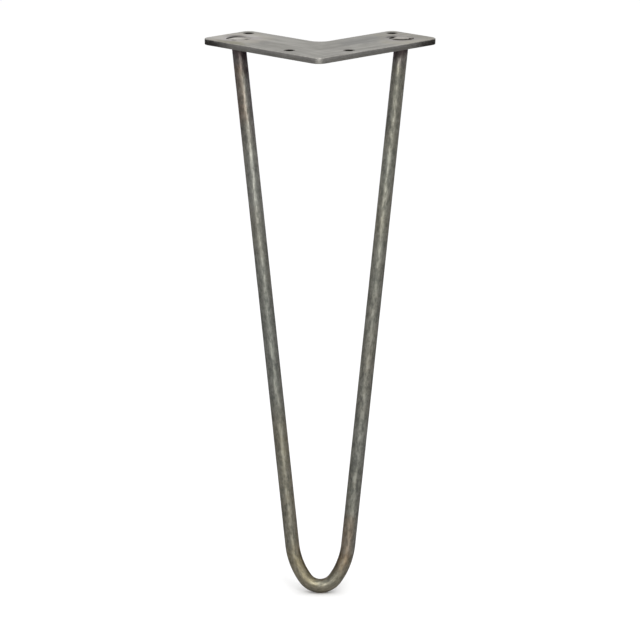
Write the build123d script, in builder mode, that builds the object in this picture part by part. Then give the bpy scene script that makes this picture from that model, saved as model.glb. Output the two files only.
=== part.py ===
from build123d import *
from math import asin, atan2, cos, degrees, hypot, pi, radians, sin, sqrt, tan
import os

# Hairpin leg for a table, in raw mild steel: one bent round bar welded into a V-shaped plate.
# Origin midway between the front pair of screw holes, on the plate's top face, which meets the table.
# +Z is up, +X is to the right, and the plate's outer corner points to -Y.

# Driving dimensions, in millimetres and degrees

# Whole leg
leg_height = 457.0
lean_angle = 10.5

# Round bar, with its bend measured on the centre line
rod_diameter = 12.0
bend_tip_radius = 15.5
bend_tip_half_angle = 54.0
bend_shoulder_radius = 59.0
rod_end_recess = 0.4

# V-shaped plate
plate_thickness = 5.0
arm_length = 141.0
arm_width = 56.0
arm_spread = 90.0
front_corner_radius = 8.0
inner_corner_radius = 11.0
outer_end_radius = 8.5
inner_end_radius = 7.0
edge_break = 0.5

# Screw holes: the front pair from the plate's outer corner, the rear pair from the arm's end
screw_hole_diameter = 6.6
front_hole_along = 45.5
front_hole_inward = 11.0
rear_hole_end_margin = 10.5
rear_hole_inner_margin = 10.5

# Rod holes, countersunk from the top for the weld
rod_hole_end_margin = 23.0
rod_hole_outer_margin = 22.0
rod_hole_clearance = 0.15
countersink_angle = 90.0
countersink_land = 1.0

# Weld metal, which stays below the top face and leaves a groove inside the countersink's rim
weld_rim_drop = 0.6
weld_groove_drop = 1.6
weld_groove_width = 1.8


def arm_point(along, inward):
    """Point of the right arm, along its outer edge from the plate's sharp outer corner, then inward."""
    half_spread = radians(arm_spread / 2)
    x = along * sin(half_spread) - inward * cos(half_spread)
    y = along * cos(half_spread) + inward * sin(half_spread)
    return Vector(x, y)


def both_arms(point):
    """The same point on the right arm and on the left one."""
    return [point, Vector(-point.X, point.Y)]


# Places on the plate, from the origin
outer_corner = Vector(0, -arm_point(front_hole_along, front_hole_inward).Y)
inner_corner = outer_corner + Vector(0, arm_width / sin(radians(arm_spread / 2)))
outer_end = outer_corner + arm_point(arm_length, 0)
inner_end = outer_corner + arm_point(arm_length, arm_width)
front_hole = outer_corner + arm_point(front_hole_along, front_hole_inward)
rear_hole = outer_corner + arm_point(
    arm_length - rear_hole_end_margin, arm_width - rear_hole_inner_margin
)
rod_hole = outer_corner + arm_point(arm_length - rod_hole_end_margin, rod_hole_outer_margin)

# The hairpin lies in a leaning plane, which meets the plate at half the height of the hole's land.
# In that plane X runs to the right and Y up along the leg.
rod_radius = rod_diameter / 2
lean = radians(lean_angle)
seat_z = countersink_land / 2 - plate_thickness
hairpin_plane = Plane(
    origin=(0, rod_hole.Y, seat_z), x_dir=(1, 0, 0), z_dir=(0, -cos(lean), sin(lean))
)
foot_y = (rod_radius - leg_height - seat_z) / cos(lean)

# The straight runs from the seat until it touches the shoulder arc, whose centre is worked out first.
tip_half_angle = radians(bend_tip_half_angle)
shoulder_x = (bend_tip_radius - bend_shoulder_radius) * sin(tip_half_angle)
shoulder_y = (
    foot_y + bend_tip_radius + (bend_shoulder_radius - bend_tip_radius) * cos(tip_half_angle)
)
seat_distance = hypot(rod_hole.X - shoulder_x, shoulder_y)
seat_bearing = atan2(-shoulder_y, rod_hole.X - shoulder_x)
hairpin_half_angle = pi / 2 - seat_bearing - asin(bend_shoulder_radius / seat_distance)
bend_shoulder_angle = 90 - bend_tip_half_angle - degrees(hairpin_half_angle)
straight_length = sqrt(seat_distance**2 - bend_shoulder_radius**2)

# The bar's own slope sets how wide its hole has to be.
rod_slope = sqrt(1 / (cos(hairpin_half_angle) * cos(lean)) ** 2 - 1)
rod_stretch = sqrt(1 + rod_slope**2)
rod_hole_radius = (
    (rod_radius + rod_hole_clearance) * rod_stretch + countersink_land / 2 * rod_slope
)
countersink_depth = plate_thickness - countersink_land
countersink_flare = tan(radians(countersink_angle / 2))
countersink_radius = rod_hole_radius + countersink_depth * countersink_flare

# V-shaped plate with its screw holes and the two rod holes
with BuildPart() as mounting_plate:
    with BuildSketch():
        with BuildLine():
            FilletPolyline(
                outer_corner,
                outer_end,
                inner_end,
                inner_corner,
                Vector(-inner_end.X, inner_end.Y),
                Vector(-outer_end.X, outer_end.Y),
                radius=[
                    front_corner_radius,
                    outer_end_radius,
                    inner_end_radius,
                    inner_corner_radius,
                    inner_end_radius,
                    outer_end_radius,
                ],
                close=True,
            )
        make_face()
    extrude(amount=-plate_thickness)
    rims = mounting_plate.edges().group_by(Axis.Z)
    chamfer(rims[0] + rims[-1], edge_break)
    with Locations(both_arms(front_hole) + both_arms(rear_hole)):
        Hole(screw_hole_diameter / 2)
    with Locations(both_arms(rod_hole)):
        CounterSinkHole(
            rod_hole_radius, countersink_radius, counter_sink_angle=countersink_angle
        )

# Round bar swept along the bend, from the left end down to the foot and up to the right end.
# It is swept past the plate, then cut level just below the plate's top face.
overrun = plate_thickness + rod_diameter
with BuildPart() as hairpin_rod:
    with BuildLine(hairpin_plane):
        left_straight = PolarLine(
            (
                -rod_hole.X - overrun * sin(hairpin_half_angle),
                overrun * cos(hairpin_half_angle),
            ),
            straight_length + overrun,
            angle=degrees(hairpin_half_angle) - 90,
        )
        left_shoulder = JernArc(
            left_straight @ 1, left_straight % 1, bend_shoulder_radius, bend_shoulder_angle
        )
        tip = JernArc(
            left_shoulder @ 1, left_shoulder % 1, bend_tip_radius, 2 * bend_tip_half_angle
        )
        right_shoulder = JernArc(
            tip @ 1, tip % 1, bend_shoulder_radius, bend_shoulder_angle
        )
        PolarLine(
            right_shoulder @ 1, straight_length + overrun, direction=right_shoulder % 1
        )
    with BuildSketch(Plane(left_straight @ 0, z_dir=left_straight % 0)):
        Circle(rod_radius)
    sweep()
    split(bisect_by=Plane.XY.offset(-rod_end_recess), keep=Keep.BOTTOM)


def build_weld(side):
    """Ring of weld metal in one countersink, grooved on top, round the end of the bar.

    side is -1 for the left arm and 1 for the right arm.
    """
    axis_point = (side * rod_hole.X, rod_hole.Y, 0)
    rim_radius = countersink_radius - weld_rim_drop * countersink_flare
    with BuildPart() as weld:
        with BuildSketch(Plane(axis_point, x_dir=(1, 0, 0), z_dir=(0, -1, 0))):
            Polygon(
                (0, -countersink_depth),
                (rod_hole_radius, -countersink_depth),
                (rim_radius, -weld_rim_drop),
                (rim_radius - weld_groove_width, -weld_groove_drop),
                (0, -weld_groove_drop),
                align=None,
            )
        revolve(axis=Axis(axis_point, (0, 0, 1)))
        add(hairpin_rod.part, mode=Mode.SUBTRACT)
    return weld.part


pieces = {
    "mounting_plate": mounting_plate.part,
    "hairpin_rod": hairpin_rod.part,
    "weld_left": build_weld(-1),
    "weld_right": build_weld(1),
}

os.makedirs("parts", exist_ok=True)
for name, piece in pieces.items():
    piece.label = name
    export_step(piece, f"parts/{name}.step")
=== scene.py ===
"""Hairpin table leg in raw mild steel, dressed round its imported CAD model.

The leg is rebuilt as fine meshes that keep the form of the CAD solids: the V-shaped plate with
its punched edges, the bent bar with its level ends, and the two weld beads in their countersinks.
Lengths are in metres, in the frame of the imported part, with +Z up and the plate's corner to -Y.
"""

from __future__ import annotations

import logging
import math
from dataclasses import dataclass, field
from enum import Enum
from functools import reduce

import bmesh
import bpy
import numpy as np
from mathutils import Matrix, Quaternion, Vector, noise
from mathutils.geometry import delaunay_2d_cdt


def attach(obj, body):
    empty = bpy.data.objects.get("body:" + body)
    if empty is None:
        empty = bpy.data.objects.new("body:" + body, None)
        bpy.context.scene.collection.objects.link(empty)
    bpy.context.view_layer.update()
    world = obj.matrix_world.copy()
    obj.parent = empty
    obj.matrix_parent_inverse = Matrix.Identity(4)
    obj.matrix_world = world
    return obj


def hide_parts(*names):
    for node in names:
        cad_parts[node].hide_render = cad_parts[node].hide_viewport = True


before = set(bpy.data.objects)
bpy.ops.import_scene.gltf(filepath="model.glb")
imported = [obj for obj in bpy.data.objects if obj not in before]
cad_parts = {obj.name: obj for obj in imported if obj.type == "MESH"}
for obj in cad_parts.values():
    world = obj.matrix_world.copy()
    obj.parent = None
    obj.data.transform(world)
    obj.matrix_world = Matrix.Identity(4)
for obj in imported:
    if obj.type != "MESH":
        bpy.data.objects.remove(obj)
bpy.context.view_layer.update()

log = logging.getLogger("hairpin_leg")

MM = 0.001
BODY = "root"
WHITE = (1.0, 1.0, 1.0, 1.0)
SEED_STEPS = np.array([1.0, 1.7, -2.3])

Socket = bpy.types.NodeSocket
Pair = tuple[float, float]
Triple = tuple[float, float, float]
Colour = tuple[float, float, float, float]
Inputs = dict[str | int, object]


class Side(Enum):
    """Arm of the plate, as its sign along X."""

    LEFT = -1
    RIGHT = 1

    @property
    def word(self) -> str:
        """Its word in the names of pieces."""
        return self.name.lower()


def tone(red: int, green: int, blue: int) -> Colour:
    """Turns a colour as a picture shows it into the linear one that a shader takes.

    Args:
        red: Red, from 0 to 255.
        green: Green, from 0 to 255.
        blue: Blue, from 0 to 255.

    Returns:
        Linear red, green and blue, with an alpha of 1.
    """
    parts = [value / 255 for value in (red, green, blue)]
    linear = [p / 12.92 if p <= 0.04045 else ((p + 0.055) / 1.055) ** 2.4 for p in parts]
    return linear[0], linear[1], linear[2], 1.0


def unit(vector: np.ndarray) -> np.ndarray:
    """Returns the vector at length 1."""
    return vector / np.linalg.norm(vector)


def ease(value: np.ndarray | float, low: float, high: float) -> np.ndarray | float:
    """Returns a ramp from 0 at low to 1 at high, eased at both ends."""
    held = np.clip((value - low) / (high - low), 0.0, 1.0)
    return held * held * (3 - 2 * held)


def noise_at(places: np.ndarray, size: float, seed: float) -> np.ndarray:
    """Reads a smooth noise at many places.

    Args:
        places: Points, one row each.
        size: Distance between the noise's bumps.
        seed: Shift that tells one noise from another.

    Returns:
        A value from about -1 to 1 for each place.
    """
    shifted = places / size + seed * SEED_STEPS
    return np.array([noise.noise(Vector(row)) for row in shifted])


def directions(angles: np.ndarray) -> np.ndarray:
    """Returns the level unit vector at each angle, one row each."""
    return np.stack([np.cos(angles), np.sin(angles)], axis=1)


def quarter_round(steps: int) -> list[Triple]:
    """Returns the share, the sine and the cosine at each step through a quarter of a turn."""
    shares = [step / steps for step in range(steps + 1)]
    return [(share, math.sin(math.pi / 2 * share), math.cos(math.pi / 2 * share)) for share in shares]


def stand(name: str, data: bpy.types.ID) -> bpy.types.Object:
    """Makes an object of its data and links it into the scene."""
    made = bpy.data.objects.new(name, data)
    bpy.context.scene.collection.objects.link(made)
    return made


def fit(piece: bpy.types.Object, material: bpy.types.Material, node: str) -> None:
    """Gives a piece its finish and its place on the frame.

    Args:
        piece: Piece of the leg.
        material: Its finish.
        node: CAD node that it stands for.
    """
    piece.data.materials.append(material)
    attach(piece, BODY)
    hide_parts(node)


@dataclass
class MeshDraft:
    """Points, faces and point values of a mesh while it is drawn up.

    Attributes:
        points: Blocks of points.
        faces: Faces as indices of points.
        values: Blocks of each named point value, beside the points.
        count: Number of points so far.
    """

    points: list[np.ndarray] = field(default_factory=list)
    faces: list[tuple[int, ...]] = field(default_factory=list)
    values: dict[str, list[np.ndarray]] = field(default_factory=dict)
    count: int = 0

    def add(self, points: np.ndarray, **values: np.ndarray | float) -> np.ndarray:
        """Adds points with their values.

        Args:
            points: Points, one row each.
            **values: For each point value, a number for all points or one row a point.

        Returns:
            The indices of the new points.
        """
        for key, value in values.items():
            held = np.asarray(value, float)
            block = np.broadcast_to(held, (len(points), *held.shape[1:])).astype(float)
            self.values.setdefault(key, []).append(block)
        self.points.append(np.asarray(points, float))
        indices = np.arange(self.count, self.count + len(points))
        self.count += len(points)
        return indices

    def chain(self, rings: list[np.ndarray]) -> None:
        """Joins closed rings of the same number of points, each to the next, by four-sided faces."""
        for first, second in zip(rings, rings[1:]):
            turned = zip(first, np.roll(first, -1), np.roll(second, -1), second)
            self.faces.extend(tuple(int(i) for i in face) for face in turned)

    def cap(self, ring: np.ndarray, middle: np.ndarray, **values: np.ndarray | float) -> None:
        """Closes a ring by triangles to a new point in its middle, with that point's values."""
        centre = int(self.add(middle[None], **values)[0])
        self.faces.extend((int(a), int(b), centre) for a, b in zip(ring, np.roll(ring, -1)))

    def to_object(self, name: str) -> bpy.types.Object:
        """Makes the mesh with its outward normals and smooth faces.

        Args:
            name: Name of the piece.

        Returns:
            The new object, linked into the scene.
        """
        mesh = bpy.data.meshes.new(name)
        mesh.from_pydata(np.concatenate(self.points).tolist(), [], self.faces)
        shell = bmesh.new()
        shell.from_mesh(mesh)
        bmesh.ops.recalc_face_normals(shell, faces=shell.faces)
        shell.to_mesh(mesh)
        shell.free()
        for key, blocks in self.values.items():
            held = np.concatenate(blocks).astype(np.float32)
            kind, member = ("FLOAT", "value") if held.ndim == 1 else ("FLOAT_VECTOR", "vector")
            layer = mesh.attributes.new(key, kind, "POINT")
            layer.data.foreach_set(member, held.ravel())
        mesh.polygons.foreach_set("use_smooth", [True] * len(mesh.polygons))
        return stand(name, mesh)


@dataclass(frozen=True)
class Cloud:
    """Noise that is eased from one result to another between two of its readings.

    Attributes:
        scale: Number of bumps in a metre.
        detail: Number of finer layers.
        roughness: Strength of those layers.
        span: Readings at which it starts and ends.
        results: Results there.
    """

    scale: float
    detail: float
    roughness: float
    span: Pair
    results: Pair = (0.0, 1.0)


@dataclass(frozen=True)
class Mottle:
    """How coarse the blotches and the streaks of a finish are.

    Attributes:
        blotch: Scale of the blotches' noise.
        streak: Scale of the streaks' noise.
        stretch: Stretch of the streaks' noise, part by part.
    """

    blotch: float
    streak: float
    stretch: Triple


class Board:
    """Node tree with short ways to place nodes and join their sockets."""

    def __init__(self, tree: bpy.types.NodeTree) -> None:
        """Takes the tree that the nodes go into."""
        self.tree = tree

    def fill(self, node: bpy.types.Node, values: Inputs) -> None:
        """Sets a node's inputs, by name or number, to values or joins them to sockets."""
        for key, value in values.items():
            if isinstance(value, bpy.types.NodeSocket):
                self.tree.links.new(value, node.inputs[key])
            else:
                node.inputs[key].default_value = value

    def node(self, kind: str, values: Inputs | None = None, **settings: object) -> bpy.types.Node:
        """Places a node.

        Args:
            kind: Kind of shader node.
            values: Inputs by name or number, each with a value or a socket to join.
            **settings: Properties of the node.

        Returns:
            The new node.
        """
        made = self.tree.nodes.new(f"ShaderNode{kind}")
        for key, value in settings.items():
            setattr(made, key, value)
        self.fill(made, values or {})
        return made

    def math(self, operation: str, first: Socket | float, second: Socket | float = 0.0) -> Socket:
        """Places a Math node and returns its value."""
        return self.node("Math", {0: first, 1: second}, operation=operation).outputs[0]

    def plus(self, first: Socket | float, second: Socket | float) -> Socket:
        """Adds two values."""
        return self.math("ADD", first, second)

    def minus(self, first: Socket | float, second: Socket | float) -> Socket:
        """Takes the second value from the first."""
        return self.math("SUBTRACT", first, second)

    def times(self, first: Socket | float, second: Socket | float) -> Socket:
        """Multiplies two values."""
        return self.math("MULTIPLY", first, second)

    def fold(self, operation: str, values: list[Socket]) -> Socket:
        """Works through a row of values two by two, such as to their least or their most."""
        return reduce(lambda first, second: self.math(operation, first, second), values)

    def span(self, value: Socket, low: float, high: float, start: float = 0.0, end: float = 1.0) -> Socket:
        """Eases a value over a range.

        Args:
            value: Value to read.
            low: Reading that gives start.
            high: Reading that gives end.
            start: Result at low and before.
            end: Result at high and after.

        Returns:
            The eased value.
        """
        inputs = {"Value": value, "From Min": low, "From Max": high, "To Min": start, "To Max": end}
        return self.node("MapRange", inputs, interpolation_type="SMOOTHSTEP").outputs["Result"]

    def mix(
        self, share: Socket | float, first: Socket | Colour, second: Socket | Colour, blend: str = "MIX"
    ) -> Socket:
        """Mixes two colours by a share, through the colour sockets of a Mix node."""
        inputs = {0: share, 6: first, 7: second}
        return self.node("Mix", inputs, data_type="RGBA", blend_type=blend).outputs[2]

    def tint(self, share: Socket | float, colour: Socket, wash: Socket | Colour) -> Socket:
        """Multiplies a colour by a wash, by a share."""
        return self.mix(share, colour, wash, "MULTIPLY")

    def ramp(self, share: Socket, stops: tuple[tuple[float, Colour], ...]) -> Socket:
        """Reads a colour off a row of stops.

        Args:
            share: Place along the row, from 0 to 1.
            stops: Place and colour of each stop, in order.

        Returns:
            The colour.
        """
        made = self.node("ValToRGB", {"Fac": share})
        row = made.color_ramp.elements
        while len(row) < len(stops):
            row.new(1.0)
        for element, (place, colour) in zip(row, stops):
            element.position = place
            element.color = colour
        return made.outputs["Color"]

    def noise(
        self, vector: Socket, scale: Socket | float, detail: float = 4.0, roughness: float = 0.55
    ) -> Socket:
        """Places a noise texture and returns its value, which lies about 0.5."""
        inputs = {"Vector": vector, "Scale": scale, "Detail": detail, "Roughness": roughness}
        return self.node("TexNoise", inputs).outputs["Fac"]

    def cloud(self, vector: Socket, cloud: Cloud) -> Socket:
        """Places a noise and eases it as its cloud says."""
        reading = self.noise(vector, cloud.scale, cloud.detail, cloud.roughness)
        return self.span(reading, *cloud.span, *cloud.results)

    def swing(self, reading: Socket, size: float) -> Socket:
        """Centres a noise on zero and scales it."""
        return self.times(self.minus(reading, 0.5), size)

    def vector_math(
        self,
        operation: str,
        first: Socket,
        second: Socket | Triple = (0.0, 0.0, 0.0),
        output: str = "Vector",
    ) -> Socket:
        """Places a Vector Math node and returns one of its outputs."""
        return self.node("VectorMath", {0: first, 1: second}, operation=operation).outputs[output]

    def stretch(self, vector: Socket, scale: Socket | Triple) -> Socket:
        """Multiplies a vector part by part."""
        return self.vector_math("MULTIPLY", vector, scale)

    def distance(self, vector: Socket, spot: np.ndarray) -> Socket:
        """Measures the distance from a spot on the plate's top face."""
        return self.vector_math("DISTANCE", vector, (float(spot[0]), float(spot[1]), 0.0), "Value")

    def turn(self, vector: Socket, angle: float) -> Socket:
        """Turns a vector about Z."""
        inputs = {"Vector": vector, "Angle": angle}
        return self.node("VectorRotate", inputs, rotation_type="Z_AXIS").outputs[0]

    def bump(self, heights: Socket, strength: float, depth: float) -> Socket:
        """Turns heights into normals, with the depth in metres that a height of 1 stands for."""
        inputs = {"Height": heights, "Strength": strength, "Distance": depth}
        return self.node("Bump", inputs).outputs[0]

    def point_value(self, name: str, output: str = "Fac") -> Socket:
        """Reads a point value of the mesh."""
        return self.node("Attribute", attribute_name=name).outputs[output]


class Group(Enum):
    """Effect that several finishes share, kept as a group of shader nodes."""

    MOTTLE = "steel_mottle"
    HEAT_TINT = "heat_tint"
    SCRATCHES = "fine_scratches"


class SharedEffects:
    """Shader node groups that more than one finish is made with.

    Attributes:
        BLOTCH_SPAN: Readings of the blotches' noise from dark to light.
        STREAK_SPAN: Readings of the streaks' noise from dark to light.
        HEAT_WANDER: Scale and size of the noise that frays the temper colours.
        TEMPER: Temper colours from the weld outward, as tints at shares of the heat's reach.
        SCRATCH_WAYS: Angle of each run of scratches, and its stretch along the scratches.
        SCRATCH_SPAN: Readings of the scratches' noise from none to full.
    """

    BLOTCH_SPAN = (0.38, 0.62)
    STREAK_SPAN = (0.36, 0.64)
    HEAT_WANDER = (70.0, 0.9)
    TEMPER = (
        (0.0, (0.28, 0.23, 0.27, 1.0)),
        (0.28, (0.42, 0.35, 0.39, 1.0)),
        (0.48, (0.90, 0.86, 0.90, 1.0)),
        (0.62, (0.97, 0.94, 0.96, 1.0)),
        (0.8, (1.0, 0.97, 0.89, 1.0)),
        (1.0, WHITE),
    )
    SCRATCH_WAYS = ((0.5, 0.035), (-0.9, 0.05))
    SCRATCH_SPAN = (0.6, 0.72)

    def __init__(self) -> None:
        """Builds each group once."""
        self.trees = {
            Group.MOTTLE: self._mottle(),
            Group.HEAT_TINT: self._heat_tint(),
            Group.SCRATCHES: self._scratches(),
        }

    def place(self, board: Board, group: Group, values: Inputs) -> bpy.types.Node:
        """Places a group in a finish and fills its inputs."""
        return board.node("Group", values, node_tree=self.trees[group])

    def mottle(self, board: Board, vector: Socket, mottle: Mottle) -> tuple[Socket, Socket]:
        """Places the mottle in a finish.

        Args:
            board: Node tree of the finish.
            vector: Where the mottle is read.
            mottle: How coarse it is.

        Returns:
            Its tone and its height.
        """
        values = {
            "Vector": vector,
            "Blotch Scale": mottle.blotch,
            "Streak Scale": mottle.streak,
            "Streak Stretch": mottle.stretch,
        }
        made = self.place(board, Group.MOTTLE, values)
        return made.outputs["Tone"], made.outputs["Height"]

    def heat_tint(
        self, board: Board, distance: Socket, reach: float, vector: Socket
    ) -> tuple[Socket, Socket]:
        """Places the temper colours in a finish.

        Args:
            board: Node tree of the finish.
            distance: Distance from the weld.
            reach: Distance at which they end.
            vector: Where their noise is read.

        Returns:
            The tint and its mask.
        """
        values = {"Distance": distance, "Reach": reach, "Vector": vector}
        made = self.place(board, Group.HEAT_TINT, values)
        return made.outputs["Tint"], made.outputs["Mask"]

    def scratches(self, board: Board, vector: Socket, scale: float) -> Socket:
        """Places the scratches in a finish and returns their mask."""
        return self.place(board, Group.SCRATCHES, {"Vector": vector, "Scale": scale}).outputs["Mask"]

    @staticmethod
    def _start(
        group: Group, inputs: dict[str, str], outputs: dict[str, str]
    ) -> tuple[Board, bpy.types.Node, bpy.types.Node]:
        """Starts a group with its sockets.

        Args:
            group: Effect that the group is for.
            inputs: Kind of each input socket, by name.
            outputs: Kind of each output socket, by name.

        Returns:
            The group's board, its input node and its output node.
        """
        tree = bpy.data.node_groups.new(group.value, "ShaderNodeTree")
        for way, sockets in (("INPUT", inputs), ("OUTPUT", outputs)):
            for name, kind in sockets.items():
                tree.interface.new_socket(name=name, in_out=way, socket_type=f"NodeSocket{kind}")
        return Board(tree), tree.nodes.new("NodeGroupInput"), tree.nodes.new("NodeGroupOutput")

    def _mottle(self) -> bpy.types.NodeTree:
        """Builds blotches of mill scale, crossed by streaks."""
        sizes = {"Blotch Scale": "Float", "Streak Scale": "Float", "Streak Stretch": "Vector"}
        board, start, end = self._start(
            Group.MOTTLE, {"Vector": "Vector", **sizes}, {"Tone": "Float", "Height": "Float"}
        )
        vector = start.outputs["Vector"]
        blotch = board.noise(vector, start.outputs["Blotch Scale"], 5.0, 0.6)
        along = board.stretch(vector, start.outputs["Streak Stretch"])
        streak = board.noise(along, start.outputs["Streak Scale"], 3.0, 0.6)
        tones = board.plus(board.span(blotch, *self.BLOTCH_SPAN), board.span(streak, *self.STREAK_SPAN))
        heights = board.plus(blotch, board.times(streak, 0.5))
        board.fill(end, {"Tone": board.times(tones, 0.5), "Height": heights})
        return board.tree

    def _heat_tint(self) -> bpy.types.NodeTree:
        """Builds the temper colours that fade with the distance from a weld, as a tint to multiply by."""
        board, start, end = self._start(
            Group.HEAT_TINT,
            {"Distance": "Float", "Reach": "Float", "Vector": "Vector"},
            {"Tint": "Color", "Mask": "Float"},
        )
        share = board.math("DIVIDE", start.outputs["Distance"], start.outputs["Reach"])
        scale, size = self.HEAT_WANDER
        share = board.plus(share, board.swing(board.noise(start.outputs["Vector"], scale, 3.0), size))
        mask = board.span(share, 0.5, 1.0, 1.0, 0.0)
        board.fill(end, {"Tint": board.ramp(share, self.TEMPER), "Mask": mask})
        return board.tree

    def _scratches(self) -> bpy.types.NodeTree:
        """Builds fine scratches that run two ways across a face."""
        board, start, end = self._start(
            Group.SCRATCHES, {"Vector": "Vector", "Scale": "Float"}, {"Mask": "Float"}
        )
        found = []
        for angle, thin in self.SCRATCH_WAYS:
            drawn = board.stretch(board.turn(start.outputs["Vector"], angle), (1.0, thin, 1.0))
            lines = board.noise(drawn, start.outputs["Scale"], 2.0)
            found.append(board.span(lines, *self.SCRATCH_SPAN))
        board.fill(end, {"Mask": board.fold("MAXIMUM", found)})
        return board.tree


def start_finish(name: str) -> tuple[Board, bpy.types.Node, bpy.types.Material]:
    """Starts a finish with an empty Principled shader.

    Args:
        name: Name of the material.

    Returns:
        The material's board, its shader and the material.
    """
    material = bpy.data.materials.new(name)
    material.use_nodes = True
    shader = next(n for n in material.node_tree.nodes if n.type == "BSDF_PRINCIPLED")
    return Board(material.node_tree), shader, material


def plain_finish(name: str, colour: Colour, roughness: float) -> bpy.types.Material:
    """Makes a plain matt finish for what stands round the leg."""
    board, shader, material = start_finish(name)
    board.fill(shader, {"Base Color": colour, "Roughness": roughness, "Specular IOR Level": 0.0})
    return material


@dataclass(frozen=True)
class TintZone:
    """Stretch of the bar whose colour is multiplied by a tint, fading at both ends: mostly the steel's own
    toning, but some are painted shade and one is a painted highlight.

    Attributes:
        start: Where it starts along the bar, from the foot, with the left side negative.
        end: Where it ends.
        fade: Length over which it fades.
        facing: 1 for the inner half of the bar, -1 for the outer half, 0 for all round.
        tint: Colour that the steel is multiplied by.
        strength: Strength in its middle.
        onset: Where it starts and is full round the bar, as distances from the bar's middle
            towards the side that it faces.
        dull: How much rougher the steel is there.
    """

    start: float
    end: float
    fade: float
    facing: int
    tint: Triple
    strength: float
    onset: Pair = (-0.004, 0.002)
    dull: float = 0.0


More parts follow.
